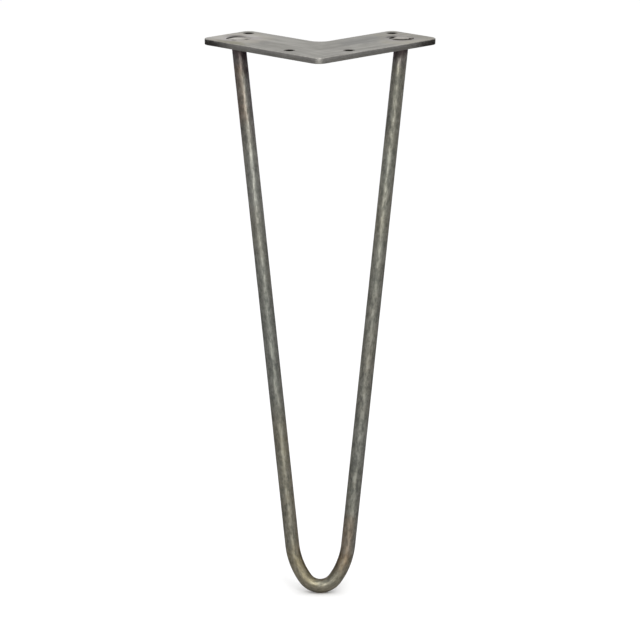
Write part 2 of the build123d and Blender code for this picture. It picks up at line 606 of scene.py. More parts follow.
@dataclass(frozen=True)
class BarSteel:
    """Drawn mild steel bar: grey with olive and brown stretches, flecked and streaked lengthwise.

    Attributes:
        dark: Colour of the scale.
        light: Colour where the scale is thin.
        cool: Tint of the greener stretches.
        olive: Tint of the yellower stretches.
        edge: Share of light left at a glancing angle.
        drawn: Stretch of the flecks along the bar.
        mottle: How coarse the flecks and streaks are.
        patch_drawn: Stretch of the larger patches along the bar.
        patches: Noise of the larger patches.
        patch_share: Their share of the tone.
        hues: Noise between the two tints.
        cover: Noise that breaks up the tinted stretches.
        roughness: Roughness of the dark and of the light steel.
        tones: Tones at which those hold.
        metallic: Share of bare metal.
        heat_reach: Distance from the plate that the temper colours reach; their darkest part, right under
            the plate, is partly painted shade.
        bump_depth: Depth of the flecks.
        zones: Tinted stretches: the steel's own toning, painted shade under the plate and inside the bend,
            and a painted highlight on the bend.
    """

    dark: Colour = tone(118, 118, 114)
    light: Colour = tone(184, 182, 173)
    cool: Colour = (0.957, 0.985, 0.964, 1.0)
    olive: Colour = (0.993, 0.98, 0.911, 1.0)
    edge: Colour = (0.40, 0.35, 0.44, 1.0)
    drawn: Triple = (1.0, 1.0, 0.5)
    mottle: Mottle = Mottle(420.0, 300.0, (1.0, 1.0, 0.55))
    patch_drawn: Triple = (1.0, 1.0, 0.35)
    patches: Cloud = Cloud(45.0, 5.0, 0.6, (0.34, 0.66))
    patch_share: float = 0.2
    hues: Cloud = Cloud(22.0, 3.0, 0.55, (0.38, 0.62))
    cover: Cloud = Cloud(160.0, 4.0, 0.55, (0.3, 0.58), (0.65, 1.0))
    roughness: Pair = (0.54, 0.34)
    tones: Pair = (0.2, 0.8)
    metallic: float = 0.9
    heat_reach: float = 30.0 * MM
    bump_depth: float = 0.4 * MM
    zones: tuple[TintZone, ...] = (
        TintZone(-0.446, -0.408, 0.012, -1, (1.0, 0.83, 0.75), 0.9),
        TintZone(-0.300, -0.165, 0.030, 0, (0.86, 0.87, 0.86), 1.0, dull=0.04),
        TintZone(-0.135, -0.050, 0.030, 0, (0.97, 0.92, 0.82), 1.0, dull=0.04),
        TintZone(0.070, 0.295, 0.030, 0, (0.87, 0.875, 0.85), 1.0, dull=0.05),
        TintZone(0.130, 0.240, 0.030, 0, (0.97, 0.96, 0.97), 1.0, dull=0.14),
        TintZone(0.320, 0.430, 0.025, 0, (0.98, 0.98, 0.94), 1.0, dull=0.04),
        TintZone(-0.034, 0.030, 0.016, 0, (1.1, 1.02, 0.86), 0.9),
        TintZone(0.030, 0.062, 0.014, 1, (1.02, 0.86, 0.76), 0.95, (-0.0065, -0.001)),
        # Painted highlight: lightens the inner side of the bend's left half.
        TintZone(-0.030, -0.008, 0.008, 1, (1.25, 1.21, 1.08), 0.9),
        # Painted shade: darkens the inside of the bend along its inner rim.
        TintZone(-0.034, 0.034, 0.012, 1, (0.4, 0.38, 0.35), 1.0, (0.0032, 0.0056)),
        # Painted shade: darkens the flanks of both bars just under the plate, most on the left bar's inner
        # side.
        TintZone(-0.460, -0.400, 0.030, 1, (0.72, 0.69, 0.74), 1.0, (0.0005, 0.005)),
        TintZone(-0.460, -0.400, 0.030, -1, (0.68, 0.68, 0.70), 1.0, (0.001, 0.005)),
        TintZone(-0.460, -0.443, 0.007, 1, (0.50, 0.46, 0.48), 1.0, (-0.001, 0.0025)),
        TintZone(0.400, 0.460, 0.030, 1, (0.74, 0.74, 0.76), 1.0, (0.001, 0.005)),
    )

    def make(self, effects: SharedEffects, seat_length: float) -> bpy.types.Material:
        """Makes the material.

        Args:
            effects: Shared node groups.
            seat_length: Length of the bar from the foot to the plate.

        Returns:
            The material.
        """
        board, shader, material = start_finish("bar_steel")
        flow = board.point_value("bar_flow", "Vector")
        drawn = board.stretch(flow, self.drawn)
        flecks, heights = effects.mottle(board, drawn, self.mottle)
        patches = board.cloud(board.stretch(flow, self.patch_drawn), self.patches)
        share = board.plus(
            board.times(flecks, 1 - self.patch_share), board.times(patches, self.patch_share)
        )
        colour = board.mix(share, self.dark, self.light)
        hue = board.mix(board.cloud(drawn, self.hues), self.cool, self.olive)
        colour = board.tint(1.0, colour, hue)
        rough = board.span(share, *self.tones, *self.roughness)
        colour, rough = self._zoned(board, flow, colour, rough)

        along = board.node("SeparateXYZ", {0: flow}).outputs["Z"]
        below = board.minus(seat_length, board.math("ABSOLUTE", along))
        # Temper colours under the plate; their darkest part, right under it, is partly painted shade of
        # the plate.
        heat, mask = effects.heat_tint(board, below, self.heat_reach, flow)
        finish = {
            "Base Color": board.tint(mask, colour, heat),
            "Roughness": rough,
            "Normal": board.bump(heights, 1.0, self.bump_depth),
            "Metallic": self.metallic,
            "Specular Tint": self.edge,
        }
        board.fill(shader, finish)
        return material

    def _zoned(self, board: Board, flow: Socket, colour: Socket, rough: Socket) -> tuple[Socket, Socket]:
        """Tints and dulls the stretches of the bar.

        Args:
            board: Node tree of the finish.
            flow: Place round and along the bar.
            colour: Colour so far.
            rough: Roughness so far.

        Returns:
            The colour and the roughness with the stretches in them.
        """
        parts = board.node("SeparateXYZ", {0: flow})
        along = parts.outputs["Z"]
        cover = board.cloud(flow, self.cover)
        for zone in self.zones:
            rise = board.span(along, zone.start - zone.fade, zone.start)
            mask = board.times(rise, board.span(along, zone.end, zone.end + zone.fade, 1.0, 0.0))
            if zone.facing:
                side = board.times(parts.outputs["Y"], zone.facing)
                mask = board.times(mask, board.span(side, *zone.onset))
            mask = board.times(mask, cover)
            colour = board.tint(board.times(mask, zone.strength), colour, (*zone.tint, 1.0))
            if zone.dull:
                rough = board.plus(rough, board.times(mask, zone.dull))
        return colour, rough


@dataclass(frozen=True)
class Patch:
    """Patch of another colour on the plate's top face, with a soft, ragged rim.

    Attributes:
        x: Middle along X, in millimetres.
        y: Middle along Y, in millimetres.
        length: Half of its length, in millimetres.
        width: Half of its width, in millimetres.
        turn: Turn of its length from X, in degrees.
        colour: Colour in its middle.
        strength: Share of that colour there.
        dull: Share of its metal's shine that it hides.
    """

    x: float
    y: float
    length: float
    width: float
    turn: float
    colour: Colour
    strength: float
    dull: float = 0.0


@dataclass(frozen=True)
class PlateSteel:
    """Raw mild steel plate: dull grey, rolled lengthwise of each arm, tinted and ground by the welds.

    Attributes:
        dark: Colour of the darker blotches.
        light: Colour of the lighter blotches.
        ground: Colour of the face where it was ground round a weld.
        worn: Colour of the rims where they are rubbed.
        burnished: Colour of the upper band of the punched edge.
        torn: Colour of the lower band of the punched edge.
        bore: Colour inside the screw holes and on the countersinks' walls, near black: painted shade with
            some dark oxide.
        hole_shade: Colour of the dark ring round a screw hole: painted shade.
        end_shade: Colour of the edge at the ends of the arms: painted shade.
        edge: Share of light left at a glancing angle.
        rolled: Stretch of the grain along an arm.
        mottle: How coarse the grain is.
        seam: Half of the width over which the grains of the two arms meet.
        smears: Noise that breaks up the ground rings.
        ground_shares: How far the left arm and the right arm were ground.
        ground_reach: Distances from a weld at which the grinding is full and ends.
        heat_start: Distance from the heat at the weld's middle.
        heat_reach: Distance at which the temper colours end.
        heat_share: Strength of the temper colours.
        ragged: Scale and size of the noise that frays patches and bands.
        patch_rim: Shares of a patch's size at which it is full and ends.
        hole_shade_fray: How far the painted shade round a screw hole frays.
        hole_shade_reach: Distances from a hole's middle at which that painted ring is full and ends.
        hole_shade_share: Strength of that painted ring.
        scratch_scale: Scale of the scratches.
        scratch_share: Strength of their colour.
        scratch_depth: Their depth over that of the grain.
        line_scale: Scale of the upright lines of the punched edge.
        line_stretch: Stretch of those lines.
        line_span: Readings of their noise at which they are full and end.
        line_share: Strength of their colour.
        band: Heights from which and to which the torn band turns into the burnished one.
        band_waves: Height of the waves between the two.
        end_shade_fray: How far the painted shade at the arms' ends frays.
        end_shade_reach: Distances from the middle at which that painted shade starts and is full.
        end_shade_share: Strength of that painted shade.
        wear: Noise that breaks up the rubbed rims.
        wear_share: Strength of the rubbed rims.
        roughness: Roughness of the dark and of the light steel.
        tones: Tones at which those hold.
        cut_roughness: How much rougher the punched edge is.
        bump: Strength and depth of the grain.
        patches: Patches of another colour on the top face.
    """

    dark: Colour = tone(152, 150, 145)
    light: Colour = tone(182, 180, 175)
    ground: Colour = tone(206, 203, 201)
    worn: Colour = tone(205, 203, 197)
    burnished: Colour = tone(170, 168, 162)
    torn: Colour = tone(157, 155, 148)
    bore: Colour = tone(26, 24, 22)
    hole_shade: Colour = tone(70, 67, 63)
    end_shade: Colour = tone(56, 53, 49)
    edge: Colour = (0.62, 0.62, 0.61, 1.0)
    rolled: Triple = (0.45, 1.0, 1.0)
    mottle: Mottle = Mottle(42.0, 150.0, (0.25, 1.0, 1.0))
    seam: float = 20.0 * MM
    smears: Cloud = Cloud(60.0, 3.0, 0.55, (0.3, 0.7), (0.55, 1.0))
    ground_shares: Pair = (0.65, 0.1)
    ground_reach: Pair = (16.0 * MM, 34.0 * MM)
    heat_start: float = 14.0 * MM
    heat_reach: float = 44.0 * MM
    heat_share: float = 0.75
    ragged: Pair = (110.0, 1.4)
    patch_rim: Pair = (0.35, 1.25)
    hole_shade_fray: float = 0.9 * MM
    hole_shade_reach: Pair = (4.1 * MM, 5.6 * MM)
    hole_shade_share: float = 0.88
    scratch_scale: float = 700.0
    scratch_share: float = 0.22
    scratch_depth: float = 0.15
    line_scale: float = 1100.0
    line_stretch: Triple = (1.0, 1.0, 0.08)
    line_span: Pair = (0.35, 0.65)
    line_share: float = 0.3
    band: Pair = (-3.2 * MM, -1.8 * MM)
    band_waves: float = 1.6 * MM
    end_shade_fray: float = 6.0 * MM
    end_shade_reach: Pair = (70.0 * MM, 93.0 * MM)
    end_shade_share: float = 0.92
    wear: Cloud = Cloud(260.0, 4.0, 0.65, (0.38, 0.66))
    wear_share: float = 0.5
    roughness: Pair = (0.55, 0.42)
    tones: Pair = (0.1, 0.9)
    cut_roughness: float = 0.08
    bump: Pair = (0.25, 0.4 * MM)
    patches: tuple[Patch, ...] = (
        Patch(-57.0, 70.0, 6.0, 4.5, 0.0, tone(214, 212, 209), 0.6),
        Patch(-84.0, 64.0, 13.0, 11.0, -45.0, tone(204, 202, 198), 0.5),
        Patch(-73.0, 38.0, 20.0, 7.0, -45.0, tone(154, 151, 135), 0.9),
        Patch(-45.5, 38.0, 6.0, 13.0, 0.0, tone(153, 151, 148), 0.7),
        # Painted shade with some dark oxide, just past the far rim of the left weld's countersink.
        Patch(-71.5, 71.0, 8.0, 3.4, 20.0, tone(72, 68, 64), 0.8, 0.8),
        Patch(36.0, 47.0, 34.0, 15.0, 45.0, tone(148, 147, 145), 0.8),
        Patch(14.0, 9.0, 14.0, 9.0, 0.0, tone(153, 151, 147), 0.6),
        Patch(77.0, 42.5, 17.0, 6.0, 45.0, tone(186, 183, 172), 0.75),
        Patch(84.0, 66.0, 9.0, 12.0, 45.0, tone(157, 155, 149), 0.6),
        # Painted shade with some dark oxide, just past the far rim of the right weld's countersink.
        Patch(59.0, 67.0, 3.0, 8.0, -30.0, tone(80, 77, 73), 0.8, 0.8),
    )

    def make(
        self, effects: SharedEffects, welds: list[np.ndarray], holes: list[np.ndarray]
    ) -> bpy.types.Material:
        """Makes the material.

        Args:
            effects: Shared node groups.
            welds: Places of the left weld and the right weld on the plate.
            holes: Places of the screw holes.

        Returns:
            The material.
        """
        board, shader, material = start_finish("plate_steel")
        place = board.node("TexCoord").outputs["Object"]
        cut, bore = board.point_value("cut"), board.point_value("bore")
        scale, size = self.ragged
        ragged = board.swing(board.noise(place, scale), size)
        lines = board.noise(board.stretch(place, self.line_stretch), self.line_scale, 3.0)
        scratches = effects.scratches(board, place, self.scratch_scale)

        grain = self._grain(board, effects, place)
        colour = board.mix(grain, self.dark, self.light)
        colour = self._heated(board, effects, place, welds, colour)
        colour, covers = self._patched(board, place, ragged, colour)
        # Painted shade: a dark ring round each screw hole, which widens the hole's dark look.
        near = board.fold("MINIMUM", [board.distance(place, spot) for spot in holes])
        near = board.plus(near, board.times(ragged, self.hole_shade_fray))
        hole_shade = board.span(near, *self.hole_shade_reach, self.hole_shade_share, 0.0)
        colour = board.mix(hole_shade, colour, self.hole_shade)
        colour = board.mix(board.times(scratches, self.scratch_share), colour, self.worn)
        colour = board.mix(cut, colour, self._edge_face(board, place, lines, ragged))
        wear = board.times(board.point_value("rim"), board.cloud(place, self.wear))
        colour = board.mix(board.times(wear, self.wear_share), colour, self.worn)

        rough = board.span(grain, *self.tones, *self.roughness)
        heights = board.plus(board.times(lines, cut), grain)
        heights = board.minus(heights, board.times(scratches, self.scratch_depth))
        # The near-black inside of the holes and countersinks is painted shade with some dark oxide; with
        # the painted ring round the screw holes and the dark patches, it loses the metal's shine.
        dull = board.fold("MAXIMUM", [bore, *covers, hole_shade])
        finish = {
            "Base Color": board.mix(bore, colour, self.bore),
            "Roughness": board.plus(rough, board.times(cut, self.cut_roughness)),
            "Normal": board.bump(heights, *self.bump),
            "Metallic": board.minus(1.0, dull),
            "Specular IOR Level": 0.0,
            "Specular Tint": self.edge,
        }
        board.fill(shader, finish)
        return material

    def _grain(self, board: Board, effects: SharedEffects, place: Socket) -> Socket:
        """Returns the tone of the rolled grain, which runs along each arm."""
        left, right = (
            effects.mottle(board, board.stretch(board.turn(place, turn), self.rolled), self.mottle)[0]
            for turn in (math.pi / 4, -math.pi / 4)
        )
        arm = board.span(board.node("SeparateXYZ", {0: place}).outputs["X"], -self.seam, self.seam)
        return board.plus(board.times(left, board.minus(1.0, arm)), board.times(right, arm))

    def _heated(
        self, board: Board, effects: SharedEffects, place: Socket, welds: list[np.ndarray], colour: Socket
    ) -> Socket:
        """Grinds the face round the welds and lays the temper colours over it.

        Args:
            board: Node tree of the finish.
            effects: Shared node groups.
            place: Place on the plate.
            welds: Places of the left weld and the right weld.
            colour: Colour so far.

        Returns:
            The colour with both in it.
        """
        smears = board.cloud(place, self.smears)
        reaches = [board.distance(place, spot) for spot in welds]
        for reach, share in zip(reaches, self.ground_shares):
            rubbed = board.times(board.span(reach, *self.ground_reach, share, 0.0), smears)
            colour = board.mix(rubbed, colour, self.ground)
        away = board.plus(board.fold("MINIMUM", reaches), self.heat_start)
        heat, _ = effects.heat_tint(board, away, self.heat_reach, place)
        return board.tint(self.heat_share, colour, heat)

    def _patched(
        self, board: Board, place: Socket, ragged: Socket, colour: Socket
    ) -> tuple[Socket, list[Socket]]:
        """Lays the patches over the face.

        Args:
            board: Node tree of the finish.
            place: Place on the plate.
            ragged: Noise that frays their rims.
            colour: Colour so far.

        Returns:
            The colour with the patches in it, and the masks of those that hide the metal's shine.
        """
        covers = []
        for patch in self.patches:
            gap = board.vector_math("SUBTRACT", place, (patch.x * MM, patch.y * MM, 0.0))
            turned = board.turn(gap, -math.radians(patch.turn))
            sized = board.stretch(turned, (1 / (patch.length * MM), 1 / (patch.width * MM), 0.0))
            off = board.vector_math("LENGTH", sized, output="Value")
            mask = board.span(board.plus(off, ragged), *self.patch_rim, patch.strength, 0.0)
            colour = board.mix(mask, colour, patch.colour)
            if patch.dull:
                covers.append(board.times(mask, patch.dull))
        return colour, covers

    def _edge_face(self, board: Board, place: Socket, lines: Socket, ragged: Socket) -> Socket:
        """Colours the punched edge: a burnished band over a torn one, darkened at the arms' ends by
        painted shade.

        Args:
            board: Node tree of the finish.
            place: Place on the plate.
            lines: Noise of the upright lines.
            ragged: Noise that frays the painted shade at the arms' ends.

        Returns:
            The colour.
        """
        parts = board.node("SeparateXYZ", {0: place})
        height = board.plus(parts.outputs["Z"], board.swing(lines, self.band_waves))
        face = board.mix(board.span(height, *self.band), self.torn, self.burnished)
        face = board.mix(board.span(lines, *self.line_span, self.line_share, 0.0), face, self.torn)
        # Painted shade on the ends of the arms, whose faces turn away from the light.
        outward = board.math("ABSOLUTE", parts.outputs["X"])
        outward = board.plus(outward, board.times(ragged, self.end_shade_fray))
        end_shading = board.span(outward, *self.end_shade_reach, 0.0, self.end_shade_share)
        return board.mix(end_shading, face, self.end_shade)


@dataclass(frozen=True)
class WeldMetal:
    """Weld metal: light where it was dressed, dark in its groove and hollows, which is painted shade with
    some dark oxide.

    Attributes:
        bright: Colour where it was ground most.
        light: Colour of the dressed crown.
        dark: Colour of the bead.
        soot: Colour of the groove and hollows: painted shade with some dark oxide.
        edge: Share of light left at a glancing angle.
        mottle: How coarse its grain is.
        scratch_scale: Scale of the scratches.
        scratch_share: Strength of their colour.
        tones: Tones between which the dark colour thins.
        soot_shares: Strength of the dark colour at those tones.
        roughness: Roughness of the metal and of its dark groove.
        bump: Strength and depth of the grain.
    """

    bright: Colour = tone(222, 219, 215)
    light: Colour = tone(190, 187, 182)
    dark: Colour = tone(162, 159, 153)
    soot: Colour = tone(42, 38, 33)
    edge: Colour = (0.62, 0.61, 0.59, 1.0)
    mottle: Mottle = Mottle(500.0, 900.0, (1.0, 0.5, 1.0))
    scratch_scale: float = 1500.0
    scratch_share: float = 0.4
    tones: Pair = (0.1, 0.9)
    soot_shares: Pair = (1.0, 0.92)
    roughness: Pair = (0.42, 0.75)
    bump: Pair = (0.4, 0.3 * MM)

    def make(self, effects: SharedEffects) -> bpy.types.Material:
        """Makes the material.

        Args:
            effects: Shared node groups.

        Returns:
            The material.
        """
        board, shader, material = start_finish("weld_metal")
        place = board.node("TexCoord").outputs["Object"]
        grain, heights = effects.mottle(board, place, self.mottle)
        colour = board.mix(grain, self.dark, self.light)
        colour = board.mix(board.point_value("bright"), colour, self.bright)
        scratches = effects.scratches(board, place, self.scratch_scale)
        colour = board.mix(board.times(scratches, self.scratch_share), colour, self.bright)
        # Painted shade with some dark oxide in the groove and hollows, read from the bead's point value.
        soot = board.times(board.point_value("soot"), board.span(grain, *self.tones, *self.soot_shares))
        finish = {
            "Base Color": board.mix(soot, colour, self.soot),
            "Roughness": board.span(soot, 0.0, 1.0, *self.roughness),
            "Normal": board.bump(heights, *self.bump),
            "Metallic": board.minus(1.0, soot),
            "Specular IOR Level": 0.0,
            "Specular Tint": self.edge,
        }
        board.fill(shader, finish)
        return material


@dataclass(frozen=True)
class ArmLayout:
    """Places on the plate's two arms, which meet at a right angle in the outer corner.

    Attributes:
        front_along: Front screw hole, along the outer edge from the sharp corner.
        front_inward: Front screw hole, inward from the outer edge.
        rod_along: Rod hole, along the outer edge.
        rod_inward: Rod hole, inward from the outer edge.
    """

    front_along: float = 45.5 * MM
    front_inward: float = 11.0 * MM
    rod_along: float = 118.0 * MM
    rod_inward: float = 22.0 * MM

    def place(self, along: float, inward: float, side: Side = Side.RIGHT) -> np.ndarray:
        """Finds a place on an arm.

        Args:
            along: Distance along the arm's outer edge from the sharp outer corner.
            inward: Distance inward from that edge.
            side: Arm.

        Returns:
            X and Y, from the middle of the front pair of screw holes.
        """
        half = math.sqrt(0.5)
        corner = -(self.front_along + self.front_inward) * half
        return np.array([side.value * (along - inward) * half, corner + (along + inward) * half])

    def rod(self, side: Side) -> np.ndarray:
        """Returns the middle of an arm's rod hole."""
        return self.place(self.rod_along, self.rod_inward, side)


@dataclass(frozen=True)
class Corner:
    """Corner of the plate's outline, before it is rounded.

    Attributes:
        place: X and Y.
        radius: Radius of the rounding.
    """

    place: np.ndarray
    radius: float


@dataclass(frozen=True)
class Line:
    """Line on the plate's top face, where a wall of the plate starts.

    Attributes:
        points: X and Y of each point.
        normals: Direction out of the steel at each point.
    """

    points: np.ndarray
    normals: np.ndarray


@dataclass(frozen=True)
class WallRing:
    """Ring of points round a wall of the plate.

    Attributes:
        inset: How far it lies inside the steel, behind the wall's line.
        height: Its height.
        rim: How far it belongs to a rim, which is rubbed.
        cut: How far it belongs to the punched edge.
        bore: How far it belongs to the inside of a hole.
    """

    inset: np.ndarray | float
    height: np.ndarray | float
    rim: float = 0.0
    cut: float = 0.0
    bore: float = 0.0


@dataclass
class MountingPlate:
    """V-shaped plate with rounded corners, four screw holes and two countersunk rod holes.

    Attributes:
        layout: Places on the arms.
        thickness: Thickness of the plate.
        arm_length: Length of an arm along its outer edge.
        arm_width: Width of an arm.
        corner_radii: Radii at the outer corner, the outer end, the inner end and the inner corner.
        top_round: Radius to which the top rim is rolled over.
        bottom_round: Radius of the bottom rim.
        round_swing: Share by which those radii vary along the edge.
        torn_depth: Mean depth of the torn band.
        torn_span: Shares of the edge's height, from the top, over which it starts.
        edge_guard: Width of the flat strip inside the rims of the edge.
        screw_radius: Radius of a screw hole.
        screw_round: Radius of its rims.
        screw_guard: Width of the flat strip round it.
        rear_end_margin: Rear screw hole, from the arm's end.
        rear_inner_margin: Rear screw hole, from the arm's inner edge.
        rod_hole_radius: Radius of the rod hole's land.
        land: Height of the rod hole's land.
        edge_step: Distance between points along the straight edges.
        corner_step: Distance between points along the rounded corners.
        face_step: Distance between points inside the flat faces.
        screw_sides: Number of points round a screw hole.
        rod_sides: Number of points round a rod hole.
    """

    layout: ArmLayout
    thickness: float = 5.0 * MM
    arm_length: float = 141.0 * MM
    arm_width: float = 56.0 * MM
    corner_radii: tuple[float, float, float, float] = (8.0 * MM, 8.5 * MM, 7.0 * MM, 11.0 * MM)
    top_round: float = 0.9 * MM
    bottom_round: float = 0.45 * MM
    round_swing: float = 0.3
    torn_depth: float = 0.05 * MM
    torn_span: Pair = (0.3, 0.7)
    edge_guard: float = 0.5 * MM
    screw_radius: float = 3.3 * MM
    screw_round: float = 0.25 * MM
    screw_guard: float = 0.35 * MM
    rear_end_margin: float = 10.5 * MM
    rear_inner_margin: float = 10.5 * MM
    rod_hole_radius: float = 6.397 * MM
    land: float = 1.0 * MM
    edge_step: float = 1.1 * MM
    corner_step: float = 0.7 * MM
    face_step: float = 5.0 * MM
    screw_sides: int = 64
    rod_sides: int = 96

    @property
    def sink_depth(self) -> float:
        """Depth of the countersink."""
        return self.thickness - self.land

    @property
    def sink_radius(self) -> float:
        """Radius of the countersink at the top face, with walls at 45 degrees."""
        return self.rod_hole_radius + self.thickness - self.land

    def screw_holes(self) -> list[np.ndarray]:
        """Returns the middles of the four screw holes."""
        layout = self.layout
        rear_along = self.arm_length - self.rear_end_margin
        rear_inward = self.arm_width - self.rear_inner_margin
        spots = []
        for side in Side:
            spots.append(layout.place(layout.front_along, layout.front_inward, side))
            spots.append(layout.place(rear_along, rear_inward, side))
        return spots

    def outline(self) -> Line:
        """Returns the plate's outline, anticlockwise, with its corners rounded."""
        tip, outer, inner, notch = self.corner_radii
        place = self.layout.place
        length, width = self.arm_length, self.arm_width
        corners = [
            Corner(place(0.0, 0.0), tip),
            Corner(place(length, 0.0), outer),
            Corner(place(length, width), inner),
            Corner(place(width, width), notch),
            Corner(place(length, width, Side.LEFT), inner),
            Corner(place(length, 0.0, Side.LEFT), outer),
        ]
        arcs = [self._arc(corners, i) for i in range(len(corners))]
        points, normals = [], []
        for arc, after in zip(arcs, arcs[1:] + arcs[:1]):
            gap = after.points[0] - arc.points[-1]
            count = max(2, round(np.linalg.norm(gap) / self.edge_step))
            shares = np.arange(1, count)[:, None] / count
            points += [arc.points, arc.points[-1] + gap * shares]
            normals += [arc.normals, np.repeat(arc.normals[-1:], count - 1, axis=0)]
        return Line(np.concatenate(points), np.concatenate(normals))

    def _arc(self, corners: list[Corner], index: int) -> Line:
        """Rounds one corner.

        Args:
            corners: All corners, anticlockwise.
            index: Corner to round.

        Returns:
            The line along the arc.
        """
        here, radius = corners[index].place, corners[index].radius
        back = unit(corners[index - 1].place - here)
        ahead = unit(corners[(index + 1) % len(corners)].place - here)
        half = math.acos(float(back @ ahead)) / 2
        middle = here + unit(back + ahead) * radius / math.sin(half)
        start = here + back * radius / math.tan(half) - middle
        end = here + ahead * radius / math.tan(half) - middle
        first = math.atan2(start[1], start[0])
        sweep = (math.atan2(end[1], end[0]) - first + math.pi) % (2 * math.pi) - math.pi
        count = max(8, round(abs(sweep) * radius / self.corner_step))
        radial = directions(first + sweep * np.linspace(0.0, 1.0, count + 1))
        return Line(middle + radius * radial, radial * math.copysign(1.0, sweep))

    @staticmethod
    def _circle(middle: np.ndarray, radius: float, count: int) -> Line:
        """Returns the line round a hole, clockwise, with normals to its middle."""
        radial = directions(-2 * math.pi * np.arange(count) / count)
        return Line(middle + radius * radial, -radial)

    @staticmethod
    def _wall(draft: MeshDraft, line: Line, rows: list[WallRing]) -> tuple[np.ndarray, np.ndarray]:
        """Draws a wall of the plate down from a line on its top face.

        Args:
            draft: Mesh to add to.
            line: Closed line at the top face.
            rows: Rings of the wall, from the top.

        Returns:
            The indices of the top ring and the bottom ring.
        """
        rings = []
        count = len(line.points)
        for row in rows:
            flat = line.points - line.normals * np.broadcast_to(row.inset, count)[:, None]
            points = np.column_stack([flat, np.broadcast_to(row.height, count)])
            rings.append(draft.add(points, rim=row.rim, cut=row.cut, bore=row.bore))
        draft.chain(rings)
        return rings[0], rings[-1]

    def _punched_edge(self, line: Line) -> list[WallRing]:
        """Returns the rings of the outer wall: rolled top rim, smooth band, torn band, bottom rim."""
        path = np.column_stack([line.points, np.zeros(len(line.points))])
        top = self.top_round * (1 + self.round_swing * noise_at(path, 17 * MM, seed=3.1))
        low = self.bottom_round * (1 + self.round_swing * noise_at(path, 11 * MM, seed=8.4))
        torn = self.torn_depth * (1 + noise_at(path, 2.3 * MM, seed=5.2))
        rows = [WallRing(top + self.edge_guard, 0.0)]
        for share, sin, cos in quarter_round(6):
            rows.append(WallRing(top * (1 - sin), -top * (1 - cos), rim=1 - 0.6 * share, cut=share))
        for share in np.linspace(0.0, 1.0, 9)[1:]:
            inset = torn * ease(share, *self.torn_span)
            height = -top + (top + low - self.thickness) * share
            rows.append(WallRing(inset, height, rim=0.3 * (1 - share), cut=1.0))
        for share, sin, cos in quarter_round(5)[1:]:
            inset = torn + (low - torn) * (1 - cos)
            height = low - self.thickness - low * sin
            rows.append(WallRing(inset, height, rim=share, cut=1 - share))
        rows.append(WallRing(low + self.edge_guard, -self.thickness))
        return rows

    def _screw_wall(self) -> list[WallRing]:
        """Returns the rings of a screw hole, with its rims just broken."""
        rim = self.screw_round
        rows = [WallRing(rim + self.screw_guard, 0.0)]
        for share, sin, cos in quarter_round(4):
            rows.append(WallRing(rim * (1 - sin), -rim * (1 - cos), rim=0.6, bore=min(1.0, 2 * share)))
        rows.append(WallRing(0.0, -self.thickness / 2, bore=1.0))
        for share, sin, cos in quarter_round(4):
            height = rim - self.thickness - rim * sin
            rows.append(WallRing(rim * (1 - cos), height, rim=0.6, bore=1 - share))
        rows.append(WallRing(rim + self.screw_guard, -self.thickness))
        return rows

    def _rod_wall(self) -> list[WallRing]:
        """Returns the rings of a rod hole: its rim, its countersink and its land."""
        deep = self.sink_depth
        return [
            WallRing(0.5 * MM, 0.0),
            WallRing(0.16 * MM, 0.0, rim=0.5),
            WallRing(0.03 * MM, -0.03 * MM, rim=0.5, bore=0.1),
            WallRing(-0.09 * MM, -0.1 * MM, rim=0.2, bore=0.6),
            WallRing(-0.35 * MM, -0.35 * MM, bore=0.95),
            WallRing(-deep, -deep, bore=0.8),
            WallRing(-deep, -self.thickness, bore=0.8),
        ]

    def _face(self, draft: MeshDraft, rings: list[np.ndarray], height: float) -> None:
        """Fills a flat face of the plate between its outline and its holes.

        Args:
            draft: Mesh to add to.
            rings: Indices of the rings round the face, the outline first.
            height: Height of the face.
        """
        placed = np.concatenate(draft.points)[:, :2]
        edge, rim = placed[rings[0]], placed[np.concatenate(rings)]
        ends = zip(edge.min(axis=0), edge.max(axis=0))
        columns, rows = (np.arange(low, high, self.face_step) for low, high in ends)
        grid = np.stack(np.meshgrid(columns, rows), axis=-1).reshape(-1, 2)
        gaps = np.linalg.norm(grid[:, None] - rim[None], axis=2).min(axis=1)
        grid = grid[(gaps > 0.5 * self.face_step) & self._inside(grid, edge)]
        for ring in rings[1:]:
            grid = grid[~self._inside(grid, placed[ring])]
        inner = draft.add(np.column_stack([grid, np.full(len(grid), height)]), rim=0.0, cut=0.0, bore=0.0)
        order = np.concatenate([*rings, inner])
        flat = np.concatenate([rim, grid])
        counts = [len(ring) for ring in rings]
        owner = np.concatenate([np.repeat(np.arange(len(rings)), counts), np.full(len(grid), -1)])
        links, first = [], 0
        for count in counts:
            links += [(first + i, first + (i + 1) % count) for i in range(count)]
            first += count
        _, _, faces, origin, _, _ = delaunay_2d_cdt([Vector(p) for p in flat], links, [], 1, 1e-9)
        for face in faces:
            corners = [origin[i][0] for i in face]
            owners = {int(owner[corner]) for corner in corners}
            # A face whose corners all lie on one hole's ring covers the hole, and is left out.
            if len(owners) > 1 or owners <= {-1, 0}:
                draft.faces.append(tuple(int(order[corner]) for corner in corners))

    @staticmethod
    def _inside(places: np.ndarray, edge: np.ndarray) -> np.ndarray:
        """Tells which places lie within a closed line.

        Args:
            places: X and Y of each place.
            edge: X and Y of each point of the line.

        Returns:
            True for each place within it.
        """
        x, y = places[:, :1], places[:, 1:]
        start, end = edge, np.roll(edge, -1, axis=0)
        spans = (start[:, 1] > y) != (end[:, 1] > y)
        rise = np.where(start[:, 1] == end[:, 1], 1.0, end[:, 1] - start[:, 1])
        meets = start[:, 0] + (y - start[:, 1]) / rise * (end[:, 0] - start[:, 0])
        return (spans & (x < meets)).sum(axis=1) % 2 == 1

